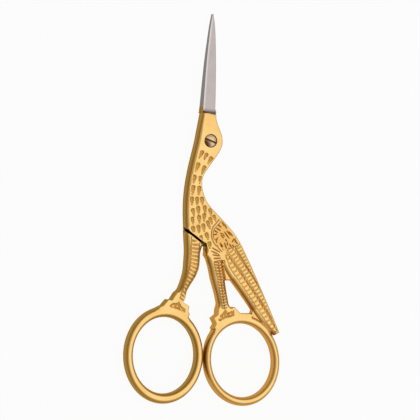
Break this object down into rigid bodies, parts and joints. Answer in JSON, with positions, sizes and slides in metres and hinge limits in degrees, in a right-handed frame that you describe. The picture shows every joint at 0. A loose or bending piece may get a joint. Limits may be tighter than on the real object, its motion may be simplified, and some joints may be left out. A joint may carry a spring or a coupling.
{
  "type": "stork embroidery scissors",
  "caption": "Small straight-bladed embroidery scissors shaped as a stork: the bill is the blades, the legs and tail carry the finger bows, and a slotted screw is the pivot.",
  "frame": {"origin": "on the pivot screw's axis, in the flat plane that the scissors rest on when they lie on their back", "axes": "+Y towards the blade tips, +X towards the tail side, +Z out of the front face, the one with the screw's slot"},
  "size_m": [0.0482, 0.115, 0.0042],
  "materials": {
    "gold_plated_steel": "forged steel with a satin gold plating, darker in the stamped feather pattern; the blades are ground back to bare steel",
    "bare_steel": "bare ground steel with a fine satin grain"
  },
  "bodies": {
    "back": {"back_half": "gold_plated_steel", "pivot_screw": "bare_steel"},
    "front": {"front_half": "gold_plated_steel"}
  },
  "joints": [
    {"name": "pivot", "type": "hinge", "parent": "back", "child": "front", "pos_m": [0, 0, 0.002], "axis": [0, 0, 1], "range_deg": [0, 150]}
  ]
}
